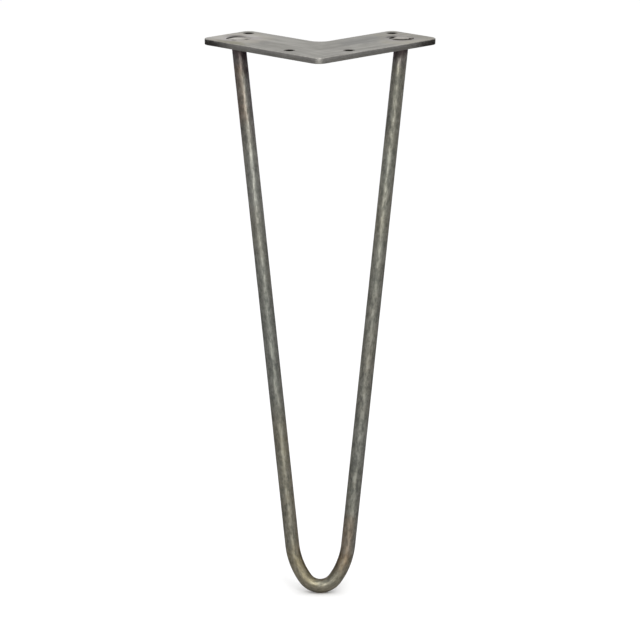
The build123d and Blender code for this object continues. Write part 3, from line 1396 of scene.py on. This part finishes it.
    def build(self) -> bpy.types.Object:
        """Draws the plate's walls and faces and returns the piece."""
        draft = MeshDraft()
        outline = self.outline()
        walls = [(outline, self._punched_edge(outline))]
        for spot in self.screw_holes():
            walls.append((self._circle(spot, self.screw_radius, self.screw_sides), self._screw_wall()))
        for side in Side:
            spot = self.layout.rod(side)
            walls.append((self._circle(spot, self.sink_radius, self.rod_sides), self._rod_wall()))
        tops, bottoms = zip(*(self._wall(draft, line, rows) for line, rows in walls))
        self._face(draft, list(tops), 0.0)
        self._face(draft, list(bottoms), -self.thickness)
        piece = draft.to_object("plate")
        weighted = piece.modifiers.new("even_normals", "WEIGHTED_NORMAL")
        weighted.keep_sharp = False
        return piece

    def dress(self, piece: bpy.types.Object, material: bpy.types.Material) -> None:
        """Gives the piece its finish and its place on the frame."""
        fit(piece, material, "mounting_plate")


@dataclass(frozen=True)
class BarLine:
    """Line of the bar's middle in its leaning plane, from the foot to the right seat.

    Attributes:
        points: X and Y in the plane, for each ring of the bar.
        angles: Direction of the line there, as an angle from X.
        lengths: Distance from the foot.
    """

    points: np.ndarray
    angles: np.ndarray
    lengths: np.ndarray


@dataclass
class HairpinRod:
    """Round bar bent to a narrow U in a leaning plane, with both ends cut level in the plate.

    Attributes:
        layout: Places on the plate's arms.
        radius: Radius of the bar.
        height: Height of the leg.
        lean: Angle of the bar's plane from upright.
        seat_z: Height at which the bar's line meets the middle of its hole.
        end_z: Height of the bar's ends.
        weld_z: Height at which the bar's line is the middle of the weld's top.
        tip_radius: Radius of the bend at the foot, on the bar's line.
        tip_half_angle: Half of the angle of that bend.
        shoulder_radius: Radius of the wider bends on both sides of it.
        mark_depth: Depth of the rolling marks.
        mark_size: Distance between them round the bar.
        mark_drawn: That distance over the one along the bar.
        wave_depth: Depth of the slow waves in the surface.
        wave_size: Distance between them.
        flat_depth: Depth to which the bend is flattened inside.
        flat_angles: Directions of the line at which the flattening ends and is full.
        end_round: Height of the rim of an end.
        end_rings: Rings of an end's face, as the size over the bar's and the depth below the end.
        sides: Number of points round the bar.
        straight_step: Distance between rings on the straights.
        bend_step: Distance between rings in the bends.
    """

    layout: ArmLayout
    radius: float = 6.0 * MM
    height: float = 457.0 * MM
    lean: float = math.radians(10.5)
    seat_z: float = -4.5 * MM
    end_z: float = -0.4 * MM
    weld_z: float = -0.5 * MM
    tip_radius: float = 15.5 * MM
    tip_half_angle: float = math.radians(54.0)
    shoulder_radius: float = 59.0 * MM
    mark_depth: float = 0.035 * MM
    mark_size: float = 3.2 * MM
    mark_drawn: float = 0.35
    wave_depth: float = 0.1 * MM
    wave_size: float = 14.0 * MM
    flat_depth: float = 0.16 * MM
    flat_angles: Pair = (1.2, 0.6)
    end_round: float = 0.25 * MM
    end_rings: tuple[Pair, ...] = ((0.985, 0.1 * MM), (0.95, 0.03 * MM), (0.9, 0.0), (0.5, 0.0))
    sides: int = 64
    straight_step: float = 1.3 * MM
    bend_step: float = 0.7 * MM

    @property
    def seat_length(self) -> float:
        """Length of the bar's line from the foot to the plate."""
        return float(self.half_line().lengths[-1])

    def half_line(self) -> BarLine:
        """Follows the bar's line from the foot to the right seat, through its bends."""
        seat = self.layout.rod(Side.RIGHT)
        foot = (self.radius - self.height - self.seat_z) / math.cos(self.lean)
        spread = self.shoulder_radius - self.tip_radius
        hub_x = -spread * math.sin(self.tip_half_angle)
        hub_y = foot + self.tip_radius + spread * math.cos(self.tip_half_angle)
        reach = math.hypot(seat[0] - hub_x, hub_y)
        bearing = math.atan2(-hub_y, seat[0] - hub_x)
        turn = bearing + math.asin(self.shoulder_radius / reach)
        run = math.sqrt(reach**2 - self.shoulder_radius**2)

        tip_length = self.tip_radius * self.tip_half_angle
        bend_length = self.shoulder_radius * (turn - self.tip_half_angle)
        tip = np.linspace(0.0, self.tip_half_angle, round(tip_length / self.bend_step) + 1)
        bend = np.linspace(self.tip_half_angle, turn, round(bend_length / self.bend_step) + 1)[1:]
        far = np.linspace(0.0, run, round(run / self.straight_step) + 1)[1:]
        tip_line = self._bend(0.0, foot + self.tip_radius, self.tip_radius, tip)
        bend_line = self._bend(hub_x, hub_y, self.shoulder_radius, bend)
        straight = bend_line[-1] + far[:, None] * np.array([math.cos(turn), math.sin(turn)])
        bent = tip_length + (bend - self.tip_half_angle) * self.shoulder_radius
        return BarLine(
            np.concatenate([tip_line, bend_line, straight]),
            np.concatenate([tip, bend, np.full(len(far), turn)]),
            np.concatenate([tip * self.tip_radius, bent, tip_length + bend_length + far]),
        )

    @staticmethod
    def _bend(hub_x: float, hub_y: float, radius: float, turns: np.ndarray) -> np.ndarray:
        """Returns the points of a bend about a hub, where the line has turned by each angle."""
        return np.stack([hub_x + radius * np.sin(turns), hub_y - radius * np.cos(turns)], axis=1)

    def build(self) -> bpy.types.Object:
        """Draws the bar as rings along its line, closes its ends and returns the piece."""
        half = self.half_line()
        line = np.concatenate([half.points[:0:-1] * np.array([-1.0, 1.0]), half.points])
        turns = np.concatenate([-half.angles[:0:-1], half.angles])
        along = np.concatenate([-half.lengths[:0:-1], half.lengths])

        across = np.array([1.0, 0.0, 0.0])
        upward = np.array([0.0, math.sin(self.lean), math.cos(self.lean)])
        front = np.array([0.0, -math.cos(self.lean), math.sin(self.lean)])
        origin = np.array([0.0, self.layout.rod(Side.RIGHT)[1], self.seat_z])
        middles = origin + line[:, :1] * across + line[:, 1:] * upward
        inward = -np.sin(turns)[:, None] * across + np.cos(turns)[:, None] * upward
        ahead = np.cos(turns)[:, None] * across + np.sin(turns)[:, None] * upward

        around = 2 * math.pi * np.arange(self.sides) / self.sides
        cos, sin = np.cos(around), np.sin(around)
        flow = np.stack(
            np.broadcast_arrays(self.radius * cos, self.radius * sin, along[:, None]), axis=-1
        )
        radii = self.radius - self._relief(flow, turns)
        outward = cos[:, None] * front + sin[:, None] * inward[:, None]
        rings = middles[:, None] + radii[..., None] * outward

        draft = MeshDraft()
        bands = [draft.add(ring, bar_flow=run) for ring, run in zip(rings, flow)]
        draft.chain(bands)
        self._end(draft, bands[0], rings[0], flow[0], -ahead[0])
        self._end(draft, bands[-1], rings[-1], flow[-1], ahead[-1])
        return draft.to_object("bar")

    def _relief(self, flow: np.ndarray, turns: np.ndarray) -> np.ndarray:
        """Finds how far the surface lies below the true round.

        Args:
            flow: Place of each point round and along the bar, ring by ring.
            turns: Direction of the bar's line at each ring.

        Returns:
            Depth of the rolling marks, the slow waves and the flattened inside of the bend.
        """
        places = flow.reshape(-1, 3)
        drawn = places * np.array([1.0, 1.0, self.mark_drawn])
        marks = 0.5 + 0.5 * noise_at(drawn, self.mark_size, seed=2.6)
        waves = 0.5 + 0.5 * noise_at(places, self.wave_size, seed=6.1)
        relief = (self.mark_depth * marks + self.wave_depth * waves).reshape(flow.shape[:2])
        bent = ease(np.abs(turns), *self.flat_angles)[:, None]
        inside = np.clip(flow[..., 1] / self.radius, 0.0, 1.0)
        return relief + self.flat_depth * bent * inside**2

    def _end(
        self, draft: MeshDraft, last: np.ndarray, ring: np.ndarray, flow: np.ndarray, way: np.ndarray
    ) -> None:
        """Carries the bar up into the plate and closes it with a level face.

        Args:
            draft: Mesh to add to.
            last: Indices of the ring at the seat.
            ring: Points of that ring.
            flow: Place of those points along the bar.
            way: Direction in which the bar goes on.
        """
        shift = ((self.end_z - self.end_round - ring[:, 2]) / way[2])[:, None]
        onward = np.array([0.0, 0.0, np.sign(flow[0, 2])])
        rings = [last]
        for share in (0.5, 1.0):
            rings.append(draft.add(ring + way * shift * share, bar_flow=flow + onward * shift * share))
        rim = ring + way * shift
        middle, core = rim.mean(axis=0), flow.mean(axis=0)
        tip = core + onward * shift.mean()
        for size, depth in self.end_rings:
            face = middle + (rim - middle) * size
            face[:, 2] = self.end_z - depth
            rings.append(draft.add(face, bar_flow=tip + (flow - core) * size))
        middle[2] = self.end_z
        draft.chain(rings)
        draft.cap(rings[-1], middle, bar_flow=tip[None])

    def weld_middle(self, side: Side) -> np.ndarray:
        """Returns X and Y of the bar's line at the top of a weld."""
        angle = self.half_line().angles[-1]
        rise = (self.weld_z - self.seat_z) / (math.sin(angle) * math.cos(self.lean))
        step = np.array([side.value * math.cos(angle), math.sin(angle) * math.sin(self.lean)])
        return self.layout.rod(side) + step * rise

    def dress(self, piece: bpy.types.Object, material: bpy.types.Material) -> None:
        """Gives the piece its finish and its place on the frame."""
        fit(piece, material, "hairpin_rod")


@dataclass(frozen=True)
class Hollow:
    """Stretch of a countersink's rim that the weld did not fill.

    Attributes:
        middle: Angle of its middle, from +X, in degrees.
        half_width: Angle from its middle to where it ends, in degrees.
        share: Depth, as a share of the deepest hollow.
    """

    middle: float
    half_width: float
    share: float


@dataclass(frozen=True)
class ShadeStain:
    """Patch painted dark in a dip of a weld, out to its rim: painted shade in the groove, with some dark
    oxide.

    Attributes:
        middle: Angle of its middle, from +X, in degrees.
        half_width: Angle from its middle to where it ends, in degrees.
        inner: Radius at which it starts.
        fade: Distance outward over which it darkens.
        strength: Strength in its middle, which is full from 1 on.
    """

    middle: float
    half_width: float
    inner: float
    fade: float
    strength: float


@dataclass(frozen=True)
class Gleam:
    """Spot of a weld that was ground bright.

    Attributes:
        x: Middle along X, from the weld's middle.
        y: Middle along Y, from the weld's middle.
        length: Half of its length along X.
        width: Half of its width along Y.
        share: Strength in its middle.
    """

    x: float
    y: float
    length: float
    width: float
    share: float


@dataclass(frozen=True)
class WeldMarks:
    """What tells one weld from the other.

    Attributes:
        hollows: Stretches of the rim that it did not fill.
        gleam: Spot that was ground bright.
        shade_stains: Patches painted dark in its groove: painted shade with some dark oxide.
        seed: Shift of the noise round it.
    """

    hollows: tuple[Hollow, ...]
    gleam: Gleam
    shade_stains: tuple[ShadeStain, ...]
    seed: float


# Each weld's shade stains are painted shade in the dips of its groove, with some dark oxide.
MARKS: dict[Side, WeldMarks] = {
    Side.LEFT: WeldMarks(
        hollows=(Hollow(118, 84, 1.0),),
        gleam=Gleam(-1.5 * MM, -0.5 * MM, 8.0 * MM, 6.0 * MM, 0.75),
        shade_stains=(
            ShadeStain(122, 72, 5.8 * MM, 1.5 * MM, 1.8),
            ShadeStain(246, 22, 6.2 * MM, 2.0 * MM, 0.9),
            ShadeStain(326, 36, 6.2 * MM, 2.0 * MM, 0.7),
        ),
        seed=3.0,
    ),
    Side.RIGHT: WeldMarks(
        hollows=(Hollow(152, 46, 0.7), Hollow(2, 26, 0.6)),
        gleam=Gleam(-2.5 * MM, 3.0 * MM, 7.0 * MM, 5.0 * MM, 0.3),
        shade_stains=(
            ShadeStain(268, 86, 2.4 * MM, 4.6 * MM, 2.0),
            ShadeStain(347, 44, 5.4 * MM, 1.5 * MM, 1.6),
            ShadeStain(160, 34, 6.2 * MM, 1.5 * MM, 1.4),
        ),
        seed=5.0,
    ),
}


def angle_share(angles: np.ndarray, middle: float, half_width: float) -> np.ndarray:
    """Returns 1 at the middle of a stretch of angles, easing to 0 where it ends.

    Args:
        angles: Angles in radians.
        middle: Middle of the stretch, in degrees.
        half_width: Angle from its middle to its ends, in degrees.

    Returns:
        The share at each angle.
    """
    gap = np.abs((np.degrees(angles) - middle + 180) % 360 - 180)
    return ease(gap, half_width, 0.2 * half_width)


@dataclass
class WeldBead:
    """Bead of weld metal in one countersink, dressed below the plate's top face.

    Attributes:
        side: Arm that the weld is on.
        middle: X and Y of the rod hole's middle.
        bar_middle: X and Y of the bar's line at the top of the weld.
        sink_radius: Radius of the countersink at the top face.
        sink_depth: Depth of the countersink.
        core_radius: Radius of the innermost ring of the bead's top, which covers the bar's end.
        bar_radius: Radius of the bead's hidden inside, within the bar.
        inside_z: Height of that inside, just over the bar's end.
        rim_drop: Depth of the bead's rim where the countersink is full.
        rim_swing: Share by which that depth varies.
        rim_overlap: How far the rim goes into the countersink's wall.
        hollow_drop: Depth of its rim in the deepest hollow.
        middle_z: Height of the middle of its top.
        crown_rise: Rise from there to its crown.
        crown_share: Where the crown starts, as a share of the way to the rim.
        fall_share: Where the crown ends and the fall to the rim starts.
        highest_z: Height that its top stays under.
        ripples: Turns of the ripples round the bead.
        ripple_bow: How far they bow along the way to the rim.
        ripple_fray: How far the noise round the bead shifts them.
        ripple_level: Part of their height that lies below the mean.
        ripple_height: Their height.
        ripple_span: Shares of the way to the rim over which they start.
        soot_depths: Depths at which a hollow starts to darken and is fully dark, as painted shade.
        soot_span: Shares of the way to the rim over which that painted shade starts.
        shade_stain_fray: How far the noise round the bead shifts the shade stains.
        sides: Number of points round the bead.
        rows: Number of rings across the bead's top.
    """

    side: Side
    middle: np.ndarray
    bar_middle: np.ndarray
    sink_radius: float
    sink_depth: float
    core_radius: float = 0.3 * MM
    bar_radius: float = 5.2 * MM
    inside_z: float = -0.36 * MM
    rim_drop: float = 0.12 * MM
    rim_swing: float = 0.5
    rim_overlap: float = 0.03 * MM
    hollow_drop: float = 1.5 * MM
    middle_z: float = -0.27 * MM
    crown_rise: float = 0.14 * MM
    crown_share: float = 0.45
    fall_share: float = 0.64
    highest_z: float = -0.05 * MM
    ripples: int = 11
    ripple_bow: float = 2.0
    ripple_fray: float = 1.5
    ripple_level: float = 0.6
    ripple_height: float = 0.03 * MM
    ripple_span: Pair = (0.35, 0.6)
    soot_depths: Pair = (0.45 * MM, 0.9 * MM)
    soot_span: Pair = (0.5, 0.8)
    shade_stain_fray: float = 0.5 * MM
    sides: int = 144
    rows: int = 31

    def build(self) -> bpy.types.Object:
        """Draws the bead's uneven top and its hidden walls and returns the piece."""
        marks = MARKS[self.side]
        angles = 2 * math.pi * np.arange(self.sides) / self.sides
        radial = directions(angles)
        uneven = noise_at(np.column_stack([radial, np.zeros(self.sides)]), 0.5, marks.seed)
        hollow = np.zeros(self.sides)
        for part in marks.hollows:
            hollow = np.maximum(hollow, part.share * angle_share(angles, part.middle, part.half_width))
        rim = self.rim_drop * (1 + self.rim_swing * uneven) + (self.hollow_drop - self.rim_drop) * hollow
        inner = self.bar_middle + self.core_radius * radial
        outer = self.middle + (self.sink_radius + self.rim_overlap - rim)[:, None] * radial

        draft = MeshDraft()
        rings = []
        for share in np.linspace(0.0, 1.0, self.rows):
            flat = inner + (outer - inner) * share
            height = self._height(share, angles, uneven, rim)
            # Painted shade: the hollows darken with depth towards the rim.
            sooty = ease(-height, *self.soot_depths) * ease(share, *self.soot_span) * hollow
            soot = np.maximum(self._shade_stain(flat, angles, uneven), sooty)
            rings.append(draft.add(np.column_stack([flat, height]), soot=soot, bright=self._bright(flat)))
        hidden = (
            (self.middle, self.sink_radius - self.sink_depth, -self.sink_depth),
            (self.middle, self.bar_radius, -self.sink_depth),
            (self.bar_middle, self.bar_radius, self.inside_z),
        )
        for middle, radius, level in hidden:
            ring = np.column_stack([middle + radius * radial, np.full(self.sides, level)])
            rings.append(draft.add(ring, soot=1.0, bright=0.0))
        draft.chain(rings)
        for ring, level in ((rings[0], self.middle_z), (rings[-1], self.inside_z)):
            centre = np.array([*self.bar_middle, level])
            draft.cap(ring, centre, soot=0.0, bright=self._bright(centre[None]))
        return draft.to_object(f"weld_bead_{self.side.word}")

    def _height(self, share: float, angles: np.ndarray, uneven: np.ndarray, rim: np.ndarray) -> np.ndarray:
        """Finds the height of one ring of the bead's top.

        Args:
            share: How far the ring is on the way from the middle to the rim.
            angles: Angles of its points.
            uneven: Noise round the ring.
            rim: Depth of the rim at each angle.

        Returns:
            The height at each point.
        """
        crown = self.middle_z + self.crown_rise * ease(share, 0.0, self.crown_share)
        height = crown + (-rim - crown) * ease(share, self.fall_share, 1.0)
        shifts = self.ripple_bow * (share - 0.5) ** 2 + self.ripple_fray * uneven
        ripple = np.abs(np.sin(self.ripples * angles + shifts)) - self.ripple_level
        height = height + self.ripple_height * ease(share, *self.ripple_span) * ripple
        return np.minimum(height, self.highest_z)

    def _bright(self, places: np.ndarray) -> np.ndarray:
        """Returns how brightly each place of the bead was ground."""
        gleam = MARKS[self.side].gleam
        gap = places[:, :2] - self.middle - np.array([gleam.x, gleam.y])
        off = np.hypot(gap[:, 0] / gleam.length, gap[:, 1] / gleam.width)
        return gleam.share * ease(off, 1.0, 1 / 3)

    def _shade_stain(self, flat: np.ndarray, angles: np.ndarray, uneven: np.ndarray) -> np.ndarray:
        """Returns how dark the painted shade and oxide are on one ring of the bead.

        Args:
            flat: X and Y of the ring's points.
            angles: Their angles.
            uneven: Noise round the ring, which frays the shade stains.

        Returns:
            A value from 0 to 1 for each point.
        """
        radii = np.linalg.norm(flat - self.middle, axis=1) + self.shade_stain_fray * uneven
        dark = np.zeros(len(angles))
        for part in MARKS[self.side].shade_stains:
            reach = ease(radii, part.inner, part.inner + part.fade)
            share = angle_share(angles, part.middle, part.half_width)
            dark = np.maximum(dark, part.strength * reach * share)
        return np.minimum(dark, 1.0)

    def dress(self, piece: bpy.types.Object, material: bpy.types.Material) -> None:
        """Gives the piece its finish and its place on the frame."""
        fit(piece, material, f"weld_{self.side.word}")


@dataclass(frozen=True)
class SoftLamp:
    """Square soft lamp that faces the leg.

    Attributes:
        name: Name of the lamp.
        place: Where it stands.
        size: Length of its sides.
        power: Power in watts.
    """

    name: str
    place: Triple
    size: float
    power: float


@dataclass
class Studio:
    """Pale floor, soft light, grey panels round the leg, and the camera.

    Attributes:
        floor_z: Height of the floor, under the foot.
        floor_size: Half of the floor's width.
        floor_colour: Colour of the floor.
        floor_roughness: Roughness of the floor.
        target: Point that the camera looks at.
        distance: Distance of the camera from it.
        azimuth: Angle of the camera to the right of straight ahead.
        elevation: Angle of the camera above level.
        roll: Turn of the camera about its own line of sight.
        lens: Focal length in millimetres.
        sensor: Width of the sensor in millimetres.
        sight: Distance to which the camera sees.
        fill: Strength of the light from all round.
        panel_grey: Colour of the panels.
        panel_reach: Distance of the side panels from the middle.
        panel_depths: Y of the front panels, of the end of the high side panels and of the back panels.
        panel_heights: Height of the panels' foot over the floor, of the top of the low panels behind
            the leg and of the top of the high ones.
        window: Left and right end of the gap between the front panels.
        lamps: Soft lamps.
    """

    floor_z: float = -457.0 * MM
    floor_size: float = 14.0
    floor_colour: Colour = (0.99, 0.99, 0.99, 1.0)
    floor_roughness: float = 0.9
    target: Vector = field(default_factory=lambda: Vector((0.0, 5.756 * MM, -228.5 * MM)))
    distance: float = 3.2
    azimuth: float = math.radians(0.62)
    elevation: float = math.radians(13.8)
    roll: float = math.radians(-0.14)
    lens: float = 215.97
    sensor: float = 36.0
    sight: float = 60.0
    fill: float = 1.0
    panel_grey: Colour = (0.255, 0.252, 0.266, 1.0)
    panel_reach: float = 0.8
    panel_depths: Triple = (-0.35, 0.3, 3.0)
    panel_heights: Triple = (0.001, -0.006, 0.6)
    window: Pair = (-0.14, 0.17)
    lamps: tuple[SoftLamp, ...] = (
        SoftLamp("key_lamp", (0.03, -0.6, 0.16), 0.38, 0.6),
        SoftLamp("front_lamp", (0.35, -1.7, 1.5), 0.9, 10.0),
        SoftLamp("top_lamp", (0.0, 0.2, 1.8), 1.4, 2.5),
    )

    def set_floor(self) -> None:
        """Lays the pale floor."""
        shell = bmesh.new()
        bmesh.ops.create_grid(shell, x_segments=8, y_segments=8, size=self.floor_size)
        mesh = bpy.data.meshes.new("floor")
        shell.to_mesh(mesh)
        shell.free()
        mesh.materials.append(plain_finish("floor_white", self.floor_colour, self.floor_roughness))
        floor = stand("floor", mesh)
        floor.location.z = self.floor_z

    def set_panels(self) -> None:
        """Stands grey panels round the leg, which only the steel's reflections see."""
        material = plain_finish("panel_grey", self.panel_grey, 1.0)
        lift, level, high = self.panel_heights
        low = self.floor_z + lift
        front, middle, back = self.panel_depths
        for side, inner in zip(Side, self.window):
            far = side.value * self.panel_reach
            walls = [
                [(0.0, front, low), (far, front, low), (far, back, low), (0.0, back, low)],
                [(far, front, low), (far, middle, low), (far, middle, high), (far, front, high)],
                [(far, middle, low), (far, back, low), (far, back, level), (far, middle, level)],
                [(inner, front, low), (far, front, low), (far, front, high), (inner, front, high)],
                [(far, back, low), (0.0, back, low), (0.0, back, level), (far, back, level)],
            ]
            corners = [corner for wall in walls for corner in wall]
            faces = [(i, i + 1, i + 2, i + 3) for i in range(0, len(corners), 4)]
            mesh = bpy.data.meshes.new("panel")
            mesh.from_pydata(corners, [], faces)
            mesh.materials.append(material)
            panel = stand(f"panel_{side.word}", mesh)
            panel.visible_camera = False
            panel.visible_diffuse = False
            panel.visible_transmission = False
            panel.visible_shadow = False

    def set_light(self) -> None:
        """Lights the leg from all round, with soft lamps for shape."""
        world = bpy.data.worlds.new("studio")
        bpy.context.scene.world = world
        world.use_nodes = True
        board = Board(world.node_tree)
        background = next(n for n in world.node_tree.nodes if n.type == "BACKGROUND")
        path = board.node("LightPath")
        rays = [path.outputs[name] for name in ("Is Camera Ray", "Is Glossy Ray", "Is Transmission Ray")]
        strength = board.span(board.fold("MAXIMUM", rays), 0.0, 1.0, self.fill, 1.0)
        board.fill(background, {"Color": WHITE, "Strength": strength})
        for lamp in self.lamps:
            data = bpy.data.lights.new(lamp.name, "AREA")
            data.shape = "SQUARE"
            data.size = lamp.size
            data.energy = lamp.power
            made = stand(lamp.name, data)
            made.location = lamp.place
            made.rotation_mode = "QUATERNION"
            made.rotation_quaternion = (self.target - Vector(lamp.place)).to_track_quat("-Z", "Y")
            made.visible_camera = False

    def set_camera(self) -> None:
        """Stands the camera in front of the plate's corner, above the leg's middle."""
        data = bpy.data.cameras.new("camera")
        data.lens = self.lens
        data.sensor_width = self.sensor
        data.clip_end = self.sight
        camera = stand("camera", data)
        level = math.cos(self.elevation)
        back = Vector(
            (math.sin(self.azimuth) * level, -math.cos(self.azimuth) * level, math.sin(self.elevation))
        )
        camera.location = self.target + back * self.distance
        camera.rotation_mode = "QUATERNION"
        turn = Quaternion((0.0, 0.0, 1.0), self.roll)
        camera.rotation_quaternion = (-back).to_track_quat("-Z", "Y") @ turn
        bpy.context.scene.camera = camera

    def build(self) -> None:
        """Sets up the whole studio."""
        self.set_floor()
        self.set_panels()
        self.set_light()
        self.set_camera()
        bpy.context.scene.view_settings.view_transform = "Standard"


def report(piece: bpy.types.Object) -> None:
    """Logs a finished piece."""
    log.info("%s: %d faces", piece.name, len(piece.data.polygons))


def main() -> None:
    """Builds and dresses the leg piece by piece, then its studio."""
    logging.basicConfig(level=logging.INFO, format="%(name)s: %(message)s")
    log.info("frame: %d solids", len(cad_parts))
    effects = SharedEffects()
    layout = ArmLayout()

    rod = HairpinRod(layout)
    bar = rod.build()
    rod.dress(bar, BarSteel().make(effects, rod.seat_length))
    report(bar)

    plate = MountingPlate(layout)
    welds = [layout.rod(side) for side in Side]
    top_plate = plate.build()
    plate.dress(top_plate, PlateSteel().make(effects, welds, plate.screw_holes()))
    report(top_plate)

    weld_metal = WeldMetal().make(effects)
    for side, middle in zip(Side, welds):
        weld = WeldBead(side, middle, rod.weld_middle(side), plate.sink_radius, plate.sink_depth)
        bead = weld.build()
        weld.dress(bead, weld_metal)
        report(bead)

    Studio().build()
    log.info("studio is set")


if __name__ == "__main__":
    main()
